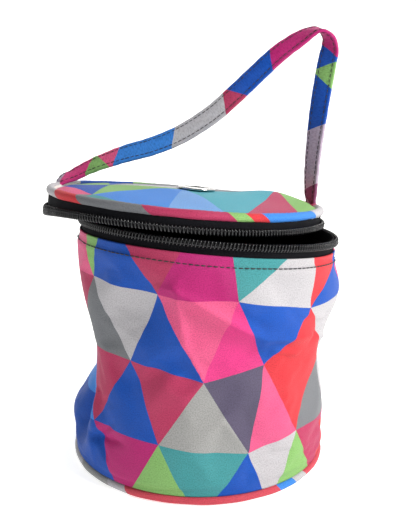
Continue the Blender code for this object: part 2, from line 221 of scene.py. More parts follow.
def loft(name, rings, closed_path=False, closed_section=True, caps=False, maps=None, smooth=True):
    """Skins a list of rings. maps names UV maps with a function of (ring index, point index)."""
    count, size = len(rings), len(rings[0])
    verts = [point for ring in rings for point in ring]
    faces = []
    corners = {layer: [] for layer in maps or {}}
    for i in range(count if closed_path else count - 1):
        for j in range(size if closed_section else size - 1):
            quad = [(i, j), (i + 1, j), (i + 1, j + 1), (i, j + 1)]
            faces.append([(a % count) * size + b % size for a, b in quad])
            for layer in corners:
                corners[layer].append([maps[layer](a, b) for a, b in quad])
    if caps:
        faces.append(list(range(size))[::-1])
        faces.append([(count - 1) * size + j for j in range(size)])
        for layer in corners:
            corners[layer].append([maps[layer](0, j) for j in range(size)][::-1])
            corners[layer].append([maps[layer](count - 1, j) for j in range(size)])
    obj = mesh_object(name, verts, faces, corners, smooth)
    tidy_normals(obj)
    return obj


def tidy_normals(obj):
    bm = bmesh.new()
    bm.from_mesh(obj.data)
    bmesh.ops.recalc_face_normals(bm, faces=bm.faces)
    bm.to_mesh(obj.data)
    bm.free()


def circle(radius_a, radius_b, count, power=1.0):
    """Points of an oval in section coordinates; a power below 1 squares it off."""
    points = []
    for k in range(count):
        turn = 2 * math.pi * k / count
        a, b = math.cos(turn), math.sin(turn)
        a = math.copysign(abs(a) ** power, a)
        b = math.copysign(abs(b) ** power, b)
        points.append((radius_a * a, radius_b * b))
    return points


def tube_rings(path, radius, sides):
    """Rings of a round tube along a path, with frames carried along without twist."""
    rings = []
    side = None
    for index, point in enumerate(path):
        before = path[max(index - 1, 0)]
        after = path[min(index + 1, len(path) - 1)]
        along = (after - before).normalized()
        if side is None:
            side = along.orthogonal().normalized()
        side = (side - along * side.dot(along)).normalized()
        other = along.cross(side)
        ring = []
        for k in range(sides):
            turn = 2 * math.pi * k / sides
            ring.append(point + (side * math.cos(turn) + other * math.sin(turn)) * radius)
        rings.append(ring)
    return rings


def apply_modifiers(obj):
    depsgraph = bpy.context.evaluated_depsgraph_get()
    mesh = bpy.data.meshes.new_from_object(obj.evaluated_get(depsgraph), depsgraph=depsgraph)
    obj.modifiers.clear()
    obj.data = mesh
    return obj


def thicken(obj, thickness, offset=-1.0):
    change = obj.modifiers.new("thickness", "SOLIDIFY")
    change.thickness = thickness * MM
    change.offset = offset
    change.use_even_offset = False


def refine(obj, levels=1):
    change = obj.modifiers.new("refine", "SUBSURF")
    change.levels = levels
    change.render_levels = levels


def dress(obj, look, body, *nodes, slot=None):
    """Gives a piece its material, its body, and the solids that it stands for."""
    obj.data.materials.clear()
    obj.data.materials.append(look)
    if body:
        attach(obj, body)
    if nodes:
        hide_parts(*nodes)
    return obj


# ---- materials ----------------------------------------------------------------------------------
class Look:
    """A material being wired up: each method adds one node and returns its output."""

    def __init__(self, name, roughness, metallic=0.0):
        self.material = bpy.data.materials.new(name)
        self.material.use_nodes = True
        self.tree = self.material.node_tree
        self.shader = self.tree.nodes["Principled BSDF"]
        self.shader.inputs["Roughness"].default_value = roughness
        self.shader.inputs["Metallic"].default_value = metallic

    def node(self, kind, **settings):
        made = self.tree.nodes.new(kind)
        for key, value in settings.items():
            setattr(made, key, value)
        return made

    def link(self, value, socket):
        if isinstance(value, bpy.types.NodeSocket):
            self.tree.links.new(value, socket)
        else:
            socket.default_value = value

    def math(self, operation, first, second=0.0):
        made = self.node("ShaderNodeMath", operation=operation)
        self.link(first, made.inputs[0])
        self.link(second, made.inputs[1])
        return made.outputs[0]

    def mix(self, share, first, second, blend="MIX"):
        made = self.node("ShaderNodeMix", data_type="RGBA", blend_type=blend)
        self.link(share, made.inputs[0])
        self.link(first, made.inputs[6])
        self.link(second, made.inputs[7])
        return made.outputs[2]

    def uv(self, layer):
        return self.node("ShaderNodeUVMap", uv_map=layer).outputs[0]

    def place(self):
        return self.node("ShaderNodeTexCoord").outputs["Object"]

    def split(self, vector):
        made = self.node("ShaderNodeSeparateXYZ")
        self.link(vector, made.inputs[0])
        return made.outputs

    def noise(self, vector, scale, detail=2.0):
        made = self.node("ShaderNodeTexNoise")
        self.link(vector, made.inputs["Vector"])
        made.inputs["Scale"].default_value = scale
        made.inputs["Detail"].default_value = detail
        return made.outputs[0]

    def wave(self, value, pitch):
        """A sine from -1 to 1 along a coordinate, one period per pitch."""
        return self.math("SINE", self.math("MULTIPLY", value, 2 * math.pi / pitch))

    def ramp(self, factor, stops, interpolation="LINEAR"):
        made = self.node("ShaderNodeValToRGB")
        made.color_ramp.interpolation = interpolation
        elements = made.color_ramp.elements
        while len(elements) < len(stops):
            elements.new(0.5)
        for element, (place, colour) in zip(elements, stops):
            element.position = place
            element.color = (*colour, 1)
        self.link(factor, made.inputs[0])
        return made.outputs[0]

    def relief(self, height, depth_mm, strength=1.0):
        made = self.node("ShaderNodeBump")
        made.inputs["Strength"].default_value = strength
        made.inputs["Distance"].default_value = depth_mm * MM
        self.link(height, made.inputs["Height"])
        self.link(made.outputs[0], self.shader.inputs["Normal"])

    def colour(self, value):
        self.link(value, self.shader.inputs["Base Color"])


THREAD_PITCH = 0.62


def weave(look, threads):
    """Height of a plain weave from a UV map in millimetres: warp and weft pass over each other."""
    across, along, _ = look.split(threads)
    warp = look.wave(across, THREAD_PITCH)
    weft = look.wave(along, THREAD_PITCH)
    return look.math("MULTIPLY", warp, weft)


def finish_cloth(look, colour, threads):
    """Grain, weave, slight fading and a low specular level that all printed cloth on the bag shares."""
    grain = look.noise(threads, 1.9, 3.0)
    fading = look.noise(threads, 0.055, 3.0)
    fleck = look.ramp(grain, [(0.32, (0.50, 0.50, 0.50)), (0.58, (0.72, 0.72, 0.72))])
    colour = look.mix(1.0, colour, fleck, "MULTIPLY")
    wear = look.math("MULTIPLY", look.math("SUBTRACT", fading, 0.42), 0.05)
    colour = look.mix(wear, colour, (0.80, 0.78, 0.80, 1))
    look.colour(colour)
    height = look.math("ADD", weave(look, threads), look.math("MULTIPLY", grain, 3.0))
    look.relief(height, 0.10, 0.55)
    rough = look.math("ADD", look.math("MULTIPLY", grain, 0.25), 0.42)
    look.link(rough, look.shader.inputs["Roughness"])
    look.shader.inputs["Specular IOR Level"].default_value = 0.13
    return look.material


def triangle_print(name, rows):
    """Printed cloth: triangles on a slanted lattice, where UV (a, b) counts lattice steps."""
    look = Look(name, 0.55)
    a, b, _ = look.split(look.uv("Print"))
    columns = len(rows[0][0].split())
    column = look.math("FLOOR", a)
    row = look.math("FLOOR", b)
    diagonal = look.math("ADD", look.math("FRACT", a), look.math("FRACT", b))
    down = look.math("GREATER_THAN", diagonal, 1.0)
    step = look.math("ADD", column, columns // 2 + 0.5 + 4 * columns)
    place = look.math("FRACT", look.math("DIVIDE", step, float(columns)))
    colour = None
    for index, (ups, downs) in enumerate(rows):
        shades = []
        for names in (ups, downs):
            stops = [(k / columns, INKS[ink]) for k, ink in enumerate(names.split())]
            shades.append(look.ramp(place, stops, "CONSTANT"))
        band = look.mix(down, *shades)
        if colour is None:
            colour = band
        else:
            here = look.math("GREATER_THAN", row, index - 0.5)
            colour = look.mix(here, colour, band)
    return finish_cloth(look, colour, look.uv("Cloth"))


def stripe_print(name, stops, slant=0.0):
    """Printed cloth cut into a narrow strip: colours change at places along UV x, on the slant."""
    look = Look(name, 0.55)
    x, y, _ = look.split(look.uv("Print"))
    place = look.math("FRACT", look.math("ADD", x, look.math("MULTIPLY", y, slant)))
    stops = [(share, INKS[ink]) for share, ink in stops]
    return finish_cloth(look, look.ramp(place, stops, "CONSTANT"), look.uv("Cloth"))


def black_weave(name, pitch, depth):
    look = Look(name, 0.8)
    threads = look.uv("Cloth")
    across, along, _ = look.split(threads)
    grain = look.noise(threads, 2.2, 2.0)
    look.colour(look.ramp(grain, [(0.3, (0.003, 0.003, 0.004)), (0.75, (0.012, 0.012, 0.015))]))
    ribs = look.math("MULTIPLY", look.wave(across, pitch), look.wave(along, pitch * 0.8))
    look.relief(look.math("ADD", ribs, grain), depth, 0.7)
    look.shader.inputs["Specular IOR Level"].default_value = 0.05
    return look.material


def plain(name, colour, second, roughness, metallic=0.0, scale=900.0, depth=0.02):
    """A one-material solid with fine mottling in its colour, roughness and surface."""
    look = Look(name, roughness, metallic)
    speck = look.noise(look.place(), scale, 3.0)
    look.colour(look.ramp(speck, [(0.35, colour), (0.7, second)]))
    look.link(look.math("ADD", look.math("MULTIPLY", speck, 0.18), roughness - 0.09),
              look.shader.inputs["Roughness"])
    look.relief(speck, depth, 0.4)
    return look.material


# ---- where the print falls ----------------------------------------------------------------------
# Corners of the printed triangles that are not where an even lattice would put them: lattice (a, b),
# and the angle and height on the wall, or the X and Y on the lid, where the cloth really holds them.
WALL_CORNERS = {
    (-2, 3): (-53, 96), (-1, 3): (-18.5, 94.5), (0, 3): (12.6, 95.5), (1, 3): (50.5, 89.5),
    (-1, 2): (-30.5, 63.3), (0, 2): (1.3, 57.4), (1, 2): (27, 65),
    (-1, 1): (-51, 30), (0, 1): (-16.3, 28), (1, 1): (22.4, 23), (2, 1): (45.6, 30),
    (-3, 4): (-60, 130), (-2, 4): (-42, 130), (-1, 4): (5.5, 145), (0, 4): (45.5, 127), (1, 4): (76, 124),
    (-2, 1): (-86, 33), (-2, 2): (-64, 66),
}
LID_CORNERS = {
    (0, 1): (-2, -3), (1, 1): (41.5, 7), (-1, 1): (-40, -33), (0, 0): (-8, -70), (1, 0): (21, -68),
    (2, 0): (53, -50), (-1, 2): (-36, 0), (0, 2): (33, 24), (1, 2): (46, 37),
}
COLUMN_TURN = 360 / 11           # degrees of the wall per lattice column
ROW_HEIGHT = 34.0
ROW_THREE = 96.0
LID_COLUMN = 42.0
LID_ROW = 44.0


def wall_even(a, b):
    """Angle and height of a lattice corner that nothing has moved."""
    return (a + b / 2 - 1) * COLUMN_TURN, ROW_THREE + (b - 3) * ROW_HEIGHT


def lid_even(a, b):
    return (a + b / 2 - 0.5) * LID_COLUMN, (b - 1) * LID_ROW


class Lattice:
    """Print corners over a surface. It finds the lattice place of a point, straight between corners."""

    def __init__(self, corners, even, across, up):
        self.corners = corners
        self.even = even
        self.across = across
        self.up = up
        self.places = {}

    def place(self, a, b):
        """Where a corner falls: as listed, or its even place moved as the listed corners nearby are."""
        if (a, b) in self.corners:
            return self.corners[a, b]
        if (a, b) not in self.places:
            x, y = self.even(a, b)
            total, move_x, move_y = 1.2, 0.0, 0.0
            for (ca, cb), (cx, cy) in self.corners.items():
                ex, ey = self.even(ca, cb)
                weight = 1 / (((x - ex) / self.across) ** 2 + ((y - ey) / self.up) ** 2) ** 1.5
                total += weight
                move_x += weight * (cx - ex)
                move_y += weight * (cy - ey)
            self.places[a, b] = (x + move_x / total, y + move_y / total)
        return self.places[a, b]

    def find(self, x, y):
        row = (y - self.even(0, 0)[1]) / (self.even(0, 1)[1] - self.even(0, 0)[1])
        column = (x - self.even(0, row)[0]) / (self.even(1, 0)[0] - self.even(0, 0)[0])
        best = None
        for a in range(math.floor(column) - 2, math.floor(column) + 3):
            for b in range(math.floor(row) - 1, math.floor(row) + 3):
                for corner in ((a, b), (a + 1, b + 1)):
                    sign = 1 if corner == (a, b) else -1
                    shares = self.shares(corner, sign, x, y)
                    worst = min(shares[0], shares[1], 1 - shares[0] - shares[1])
                    if best is None or worst > best[0]:
                        best = (worst, corner[0] + sign * shares[0], corner[1] + sign * shares[1])
                    if worst >= 0:
                        return best[1:]
        return best[1:]

    def shares(self, corner, sign, x, y):
        """How far a point lies along the two sides of a printed triangle that leave one of its corners."""
        ox, oy = self.place(*corner)
        ax, ay = self.place(corner[0] + sign, corner[1])
        bx, by = self.place(corner[0], corner[1] + sign)
        ax, ay, bx, by, x, y = ax - ox, ay - oy, bx - ox, by - oy, x - ox, y - oy
        area = ax * by - ay * bx
        return (x * by - y * bx) / area, (ax * y - ay * x) / area


WALL_LATTICE = Lattice(WALL_CORNERS, wall_even, COLUMN_TURN, ROW_HEIGHT)
LID_LATTICE = Lattice(LID_CORNERS, lid_even, LID_COLUMN, LID_ROW)


# ---- wall ---------------------------------------------------------------------------------------
# Soft dents (positive depth) and bulges: angle, height, angle reach, height reach, depth.
PUSHES = [
    (-106, 57, 42, 21, 9.5),
    (-71, 26, 9, 15, 8.0),
    (-102, 19, 26, 11, -4.5),
    (-54, 26, 7, 22, -1.2),
    (86, 61, 20, 12, 6.5),
    (88, 84, 22, 12, -3.4),
    (92, 106, 26, 9, 1.5),
    (78, 45, 18, 12, 1.5),
    (22, 68, 15, 13, 4.0),
    (-24, 86, 10, 17, 4.2),
    (4, 101, 15, 7, -1.0),
    (-14, 46, 14, 12, 1.6),
    (50, 88, 10, 9, 1.6),
    (140, 62, 26, 26, 4.5),
    (-145, 74, 22, 24, 4.5),
    (178, 36, 20, 14, 2.0),
    (118, 92, 12, 10, 1.8),
]
# Creases: from (angle, height) to (angle, height), width, and how far the crest stands out.
CREASES = [
    (-11, 100, 26, 76, 2.6, 2.4),
    (26, 76, 50, 73, 2.4, 1.8),
    (50, 73, 78, 63, 2.4, 0.8),
    (-11, 100, -7, 76, 3.0, 1.5),
    (-7, 76, 1, 58, 3.5, 1.0),
    (4, 92, 27, 79, 1.2, -0.7),
    (10, 92, 26, 82, 0.9, -0.5),
    (-50, 22, -34, 25, 1.6, -1.3),
    (-50, 22, -40, 33, 1.6, -1.0),
    (-50, 22, -40, 13, 1.6, -1.0),
    (-53, 42, -52, 8, 2.0, 1.4),
    (30, 70, 44, 66, 1.6, 0.9),
    (44, 84, 62, 78, 1.5, 0.8),
    (52, 70, 66, 80, 1.4, -0.7),
    (10, 40, 22, 24, 3.0, 0.8),
    (120, 80, 150, 45, 3.0, 1.8),
    (-128, 92, -155, 52, 3.0, 1.8),
    (168, 30, -170, 48, 3.0, 1.2),
]
CREASE_GAIN = 2.1
WAIST = 2.0                      # the wall also draws in a little at half height
FIRM_FOOT = 0.14                 # shares of the wall over which its seams hold it round
FIRM_HEAD = 0.10
LINING_STEP = (1.75, 1.45)       # between points of the lining, round the bag and up it
WALL_STEPS = 216
WALL_ROWS = 78
WALL_RISE = 110                  # of the wall cloth, as the print and the weave count it
CLOTH_GROWTH = 0.018             # share by which the cloth grows as it settles, so that it buckles
SETTLE_FRAMES = 12
SETTLE_REACH = 1.6               # no point of the wall settles further than this
PINNED_ROWS = 3                  # rows held still at the foot and at the fold


def crease_height(angle, height):
    """How far all the creases lift the cloth at a point of the wall."""
    total = 0.0
    for angle_a, height_a, angle_b, height_b, width, lift in CREASES:
        run = wrap(angle_b - angle_a)
        from_start = wrap(angle - angle_a)
        if abs(from_start) > 90:
            continue
        scale = math.pi / 180 * FOOT_RADIUS
        x, y = from_start * scale, height - height_a
        dx, dy = run * scale, height_b - height_a
        length = dx * dx + dy * dy
        along = (x * dx + y * dy) / length
        clamped = min(1.0, max(0.0, along))
        away = math.hypot(x - dx * clamped, y - dy * clamped)
        fade = ease(1.25 - abs(along - 0.5) * 1.5)
        total += CREASE_GAIN * lift * fade * math.exp(-away / width)
    return total


def mouth_pull(angle):
    """The soft mouth is drawn in at the left, under the lid's overhang, and a little at the right."""
    return swell(angle, -95, 36, 6.0) + swell(angle, 90, 32, 3.0)


def wall_point(angle, share):
    """A point of the wall's outer face, from the foot (share 0) to the fold under the zip (share 1)."""
    foot = ring_point(angle, FOOT_RADIUS, FOOT_HEIGHT)
    head = MOUTH @ ring_point(angle, HEAD_RADIUS - mouth_pull(angle), FOLD_HEIGHT)
    point = foot.lerp(head, share)
    depth = WAIST * math.sin(math.pi * share)
    for middle, level, turn, reach, deep in PUSHES:
        depth += swell(angle, middle, turn, deep) * bump(point.z - level, reach)
    depth -= crease_height(angle, point.z)
    depth *= ease(share / FIRM_FOOT) * ease((1 - share) / FIRM_HEAD)
    return point - ring_point(angle, depth)


def wall_maps():
    """UV maps of the wall grid: the print's lattice, and the cloth in millimetres."""
    lattice = {}

    def corner(i, j):
        return around(j, WALL_STEPS), FOOT_HEIGHT + i / WALL_ROWS * WALL_RISE

    def print_uv(i, j):
        key = (i, j)
        if key not in lattice:
            angle, height = corner(i, j)
            lattice[key] = WALL_LATTICE.find(angle, height)
        return lattice[key]

    def cloth_uv(i, j):
        angle, height = corner(i, j)
        return math.radians(angle) * FOOT_RADIUS, height

    return {"Print": print_uv, "Cloth": cloth_uv}


def settle(obj, pinned):
    """Lets the cloth buckle between its pinned rows, and keeps each point near where it started."""
    scene = bpy.context.scene
    group = obj.vertex_groups.new(name="pinned")
    group.add(pinned, 1.0, "REPLACE")
    cloth = obj.modifiers.new("cloth", "CLOTH")
    settings = cloth.settings
    settings.quality = 5
    settings.mass = 0.15
    settings.vertex_group_mass = "pinned"
    settings.pin_stiffness = 5.0
    settings.shrink_min = -CLOTH_GROWTH
    settings.tension_stiffness = 30
    settings.compression_stiffness = 30
    settings.shear_stiffness = 12
    settings.bending_stiffness = 2.5
    settings.effector_weights.gravity = 0.0
    cloth.collision_settings.use_collision = False
    cloth.point_cache.frame_start = 1
    cloth.point_cache.frame_end = SETTLE_FRAMES
    for frame_number in range(1, SETTLE_FRAMES + 1):
        scene.frame_set(frame_number)
    depsgraph = bpy.context.evaluated_depsgraph_get()
    moved = [v.co.copy() for v in obj.evaluated_get(depsgraph).data.vertices]
    obj.modifiers.remove(cloth)
    obj.vertex_groups.clear()
    limit = SETTLE_REACH * MM
    for vert, goal in zip(obj.data.vertices, moved):
        step = goal - vert.co
        if step.length > limit:
            step *= limit / step.length
        vert.co += step
    scene.frame_set(1)


def make_wall(look):
    rings = []
    for row in range(WALL_ROWS + 1):
        rings.append([wall_point(around(k, WALL_STEPS), row / WALL_ROWS) for k in range(WALL_STEPS)])
    wall = loft("wall_printed_cloth", rings, maps=wall_maps())
    edge = PINNED_ROWS * WALL_STEPS
    total = len(wall.data.vertices)
    settle(wall, list(range(edge)) + list(range(total - edge, total)))
    settled = [vert.co / MM for vert in wall.data.vertices]
    refine(wall)
    thicken(wall, CLOTH)
    dress(wall, look, "bag", "wall_cloth", slot="printed_cloth")
    return [settled[k:k + WALL_STEPS] for k in range(0, total, WALL_STEPS)]


def make_wall_lining(look, wall_rings):
    """The lining hangs inside the wall, follows its dents and has soft upright folds of its own."""
    rings = []
    for row in range(1, WALL_ROWS + 1):
        ring = []
        for k, point in enumerate(wall_rings[row]):
            angle = around(k, WALL_STEPS)
            fold = 0.3 * math.sin(math.radians(angle * 17)) * math.sin(math.pi * row / WALL_ROWS)
            ring.append(point - ring_point(angle, LINING_INSET + fold))
        rings.append(ring)
    maps = {"Cloth": lambda i, j: (j * LINING_STEP[0], i * LINING_STEP[1])}
    lining = loft("wall_black_lining", rings, maps=maps)
    thicken(lining, LINING)
    return dress(lining, look, "bag", "wall_lining", slot="black_lining")


# ---- welts and base -----------------------------------------------------------------------------
def welt_rings(ring_radius, height, stretch, steps=288, sides=18):
    """A round welt whose cloth is gathered a little by the seam on its inner side."""
    rings = []
    for k in range(steps):
        angle = around(k, steps)
        ring = []
        for j in range(sides):
            turn = 2 * math.pi * j / sides
            inner = 0.5 - 0.5 * math.cos(turn)
            pucker = 0.10 * inner * math.sin(math.radians(angle * 150))
            slack = 0.07 * math.sin(math.radians(angle * 11))
            slack += 0.05 * math.sin(math.radians(angle * 23))
            radius = WELT_RADIUS + pucker + slack - 0.10
            radial = ring_radius + stretch(angle) + radius * math.cos(turn)
            ring.append(ring_point(angle, radial, height(angle) + radius * math.sin(turn)))
        rings.append(ring)
    return rings


def welt_maps(ring_radius, steps=288, sides=18):
    length = 2 * math.pi * ring_radius
    return {
        "Print": lambda i, j: (i / steps, math.sin(2 * math.pi * j / sides)),
        "Cloth": lambda i, j: (length * i / steps, WELT_GIRTH * j / sides),
    }


def ring_stops(places):
    """Print stops from angles that count from the rear seam at -180."""
    return [((angle + 180) / 360, ink) for angle, ink in places]


def make_base(cloth, lining):
    rings = welt_rings(BASE_RADIUS, lambda angle: WELT_RADIUS + 0.05, lambda angle: 0.0)
    welt = loft("base_welt_cover", rings, closed_path=True, maps=welt_maps(BASE_RADIUS))
    look = stripe_print("print_base_welt", ring_stops(BASE_WELT_PRINT), 0.004)
    dress(welt, look, "bag", "base_welt", slot="printed_cloth")
    panel = disc_mesh("base_printed_panel", BASE_PANEL_RADIUS, lambda x, y: CLOTH, CLOTH, flat_lattice)
    dress(panel, cloth, "bag", "base_panel", slot="printed_cloth")

    def sag(x, y):
        reach = math.hypot(x, y)
        return 3.45 + 0.22 * math.sin(x * 0.21 + 1.3) * math.sin(y * 0.17) * bump(reach, 60)

    floor = disc_mesh("base_black_lining", BASE_LINING_RADIUS, sag, LINING, flat_lattice)
    dress(floor, lining, "bag", "base_lining", slot="black_lining")


def flat_lattice(x, y):
    """An even print lattice on a flat disc."""
    column, row = x / 36 + 0.2, 2 + y / 32
    return column - row / 2, row


def disc_mesh(name, radius, height, thickness, lattice,
              matrix=Matrix.Identity(4), hole=0.0, hole_x=0.0, rings=30, steps=144):
    """A round sheet, thickened downwards: rings of points from a hole, or its middle, out to its edge."""
    rows = []
    places = []
    inner = max(hole, 0.35)
    for i in range(rings + 1):
        share = i / rings
        ring = []
        flat = []
        for k in range(steps):
            edge = ring_point(around(k, steps), radius)
            core = ring_point(around(k, steps), inner) + Vector((hole_x, 0, 0))
            point = core.lerp(edge, share)
            flat.append((point.x, point.y))
            point.z = height(point.x, point.y)
            ring.append(matrix @ point)
        rows.append(ring)
        places.append(flat)

    def place(i, j):
        return places[i][j % steps]

    maps = {"Print": lambda i, j: lattice(*place(i, j)), "Cloth": place}
    sheet = loft(name, rows, maps=maps)
    if not hole:
        bm = bmesh.new()
        bm.from_mesh(sheet.data)
        rim = [edge for edge in bm.edges if edge.is_boundary and edge.verts[0].co.xy.length < 0.01]
        bmesh.ops.holes_fill(bm, edges=rim)
        bm.to_mesh(sheet.data)
        bm.free()
    tidy_normals(sheet)
    upwards = matrix.to_3x3() @ Vector((0, 0, 1))
    if sheet.data.polygons[0].normal.dot(upwards) < 0:
        sheet.data.flip_normals()
    thicken(sheet, thickness)
    return sheet


# ---- zip ----------------------------------------------------------------------------------------
ZIP_SPAN = 180 - HINGE_HALF      # the zip runs this far each way from the front
TAPE_STEP = 1.07                 # between points round the tape
UPPER_TAPE_TOP = 7.8
DRIFT_START = 42                 # degrees from the rear at which the zip starts to follow the lid
DRIFT_RUN = 43                   # degrees over which it comes to follow it wholly
CLIMB_START = 4.4                # heights over which the tape beside the hinge comes to follow it
CLIMB_RUN = 3.2


def face_outwards(strip, rings):
    """Turns an open strip's faces away from the middle of the mouth, before it is thickened."""
    middle = len(rings) // 2
    outwards = rings[middle][0] - MOUTH.translation
    if strip.data.polygons[middle * (len(rings[0]) - 1)].normal.dot(outwards) < 0:
        strip.data.flip_normals()


def drift(angle, height):
    """Share of the lid's shift that the upper half of the zip takes, all of it round the front."""
    from_rear = 180 - abs(wrap(angle))
    share = ease((from_rear - DRIFT_START) / DRIFT_RUN)
    climb = ease((height - CLIMB_START) / CLIMB_RUN)
    return share + (1 - share) * climb


def lower_place(angle, radius, height):
    return MOUTH @ ring_point(angle, radius - mouth_pull(angle), height)


def upper_place(angle, radius, height):
    hang = swell(angle, -98, 38, 6.0) * (1 - min(height, UPPER_TAPE_TOP) / UPPER_TAPE_TOP)
    point = ring_point(angle, radius, height - hang)
    point.x += LID_SHIFT * drift(angle, height)
    return MOUTH @ (point + lid_bend(angle))


def lid_bend(angle):
    """The soft lid rim is not a true circle: it is drawn out at the left and lifts at the right."""
    return ring_point(angle, swell(angle, -90, 38, 1.4), swell(angle, 80, 40, 1.4))


def make_tape(name, place, heights, look, body, node):
    rings = []
    steps = 320
    for k in range(steps + 1):
        angle = -ZIP_SPAN + 2 * ZIP_SPAN * k / steps
        ring = []
        for height in heights:
            wave = 0.12 * math.sin(math.radians(angle * 31)) * math.sin(height * 0.9)
            ring.append(place(angle, ZIP_RADIUS + TAPE / 2 + wave, height))
        rings.append(ring)
    maps = {"Cloth": lambda i, j: (i * TAPE_STEP, heights[j])}
    tape = loft(name, rings, closed_section=False, maps=maps)
    face_outwards(tape, rings)
    thicken(tape, TAPE)
    apply_modifiers(tape)
    return dress(tape, look, body, node, slot="zip_tape")


def coil_path(place, sign):
    """A flattened spiral of nylon wire whose loops stand across the tape."""
    length = math.radians(2 * ZIP_SPAN) * COIL_RADIUS
    turns = int(length / COIL_PITCH)
    per_turn = 10
    path = []
    for k in range(turns * per_turn + 1):
        turn = 2 * math.pi * k / per_turn
        angle = -ZIP_SPAN + 2 * ZIP_SPAN * k / (turns * per_turn)
        across = -math.cos(turn)
        across = math.copysign(abs(across) ** 0.7, across)
        head = 0.16 * max(0.0, across)
        radius = COIL_RADIUS + (COIL_HALF_DEPTH - COIL_WIRE + head) * math.sin(turn)
        height = COIL_MIDDLE - across * (COIL_HALF_HEIGHT - COIL_WIRE)
        path.append(place(angle, radius, sign * height))
    return path


def make_coil(name, place, sign, look, body, node):
    coil = loft(name, tube_rings(coil_path(place, sign), COIL_WIRE, 6), caps=True)
    return dress(coil, look, body, node, slot="zip_coil")


def stitch_row(name, points, outs, length, gap, radius):
    """Thread stitches along a path: each is a short lens that rises out of the cloth between two holes."""
    spots = []
    travelled = 0.0
    marks = [0.0]
    for before, after in zip(points, points[1:]):
        travelled += (after - before).length
        marks.append(travelled)

    def at(distance):
        low = 0
        while low < len(marks) - 2 and marks[low + 1] < distance:
            low += 1
        share = (distance - marks[low]) / max(marks[low + 1] - marks[low], 1e-6)
        return points[low].lerp(points[low + 1], share), outs[low].lerp(outs[low + 1], share).normalized()

    start = 0.0
    while start + length < travelled:
        spots.append([at(start + length * share) for share in (0.0, 0.18, 0.5, 0.82, 1.0)])
        start += length + gap
    verts = []
    faces = []
    sides = 6
    rises = (-0.12, 0.10, 0.16, 0.10, -0.12)
    girths = (0.55, 0.95, 1.0, 0.95, 0.55)
    for spot in spots:
        first = len(verts)
        along = (spot[-1][0] - spot[0][0]).normalized()
        for (point, out), rise, girth in zip(spot, rises, girths):
            side = along.cross(out).normalized()
            for k in range(sides):
                turn = 2 * math.pi * k / sides
                swing = side * math.cos(turn) + out * math.sin(turn)
                verts.append(point + out * rise + swing * radius * girth)
        for ring in range(len(rises) - 1):
            for k in range(sides):
                a, b = first + ring * sides + k, first + ring * sides + (k + 1) % sides
                faces.append((a, a + sides, b + sides, b))
        faces.append([first + k for k in range(sides)])
        faces.append([first + (len(rises) - 1) * sides + k for k in range(sides)][::-1])
    obj = mesh_object(name, verts, faces)
    tidy_normals(obj)
    return obj


def ring_path(place, radius, height, span, steps=400):
    points = []
    outs = []
    for k in range(steps + 1):
        angle = -span + 2 * span * k / steps
        point = place(angle, radius, height)
        points.append(point)
        outs.append((place(angle, radius + 1, height) - point).normalized())
    return points, outs


def make_zip(tape, nylon, thread, wall_rings):
    lower = [-8.6, -7.8, -7.0, -6.0, -4.8, -3.2, -1.9, -1.3]
    make_tape("zip_lower_woven_tape", lower_place, lower, tape, "bag", "zip_tape_lower")
    make_coil("zip_lower_coil", lower_place, -1, nylon, "bag", "zip_coil_lower")
    upper = [1.2, 1.9, 3.2, 4.4, 5.2, 6.0, 6.9, UPPER_TAPE_TOP]
    upper_tape = make_tape("zip_upper_woven_tape", upper_place, upper, tape, None, "zip_tape_upper")
    upper_coil = make_coil("zip_upper_coil", upper_place, 1, nylon, None, "zip_coil_upper")
    for piece in (upper_tape, upper_coil):
        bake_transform(piece)
    for name, place, sign, body in (
        ("zip_lower_coil_stitches", lower_place, -1, "bag"),
        ("zip_upper_coil_stitches", upper_place, 1, None),
    ):
        face = COIL_RADIUS + COIL_HALF_DEPTH - 0.18
        path = ring_path(place, face, sign * (COIL_MIDDLE + 0.55), ZIP_SPAN - 1)
        row = dress(stitch_row(name, *path, 0.95, 0.55, 0.20), thread, body, slot="zip_coil")
        if not body:
            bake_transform(row)
    ring = wall_rings[-4]
    points = ring + ring[:1]
    outs = [ring_point(around(k, WALL_STEPS), 1) for k in range(WALL_STEPS + 1)]
    dress(stitch_row("wall_top_stitching", points, outs, 2.1, 0.45, 0.26), thread, "bag", slot="zip_tape")


# ---- hinge cloth and lid ------------------------------------------------------------------------
def make_hinge(look):
    """A strip of the printed cloth from the wall up to the lid seam, folding at the hinge line."""
    rings = []
    heights = [HINGE_FOOT + 19.2 * k / 24 for k in range(25)]
    steps = 60
    for k in range(steps + 1):
        angle = 180 - HINGE_HALF - HINGE_LAP + 2 * (HINGE_HALF + HINGE_LAP) * k / steps
        ring = []
        for height in heights:
            bulge = 0.35 * math.sin((height - HINGE_FOOT) * 0.16)
            radius = HINGE_RADIUS + 0.4 + bulge - 2.3 * ease((height - 4.5) / 4.0)
            ring.append(MOUTH @ ring_point(angle, radius, height))
        rings.append(ring)
    maps = {
        "Print": lambda i, j: (i * HINGE_STEP / 36 + 1.0 - heights[j] / 62, heights[j] / 31 + 1.45),
        "Cloth": lambda i, j: (i * HINGE_STEP, heights[j]),
    }
    strip = loft("hinge_printed_strip", rings, closed_section=False, maps=maps)
    face_outwards(strip, rings)
    thicken(strip, CLOTH)
    apply_modifiers(strip)
    dress(strip, look, None, "hinge_cloth", slot="printed_cloth")
    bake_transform(strip)


PADDING = (42, 4, 18, 3.6)       # where the lid is fullest: X, Y, reach and rise


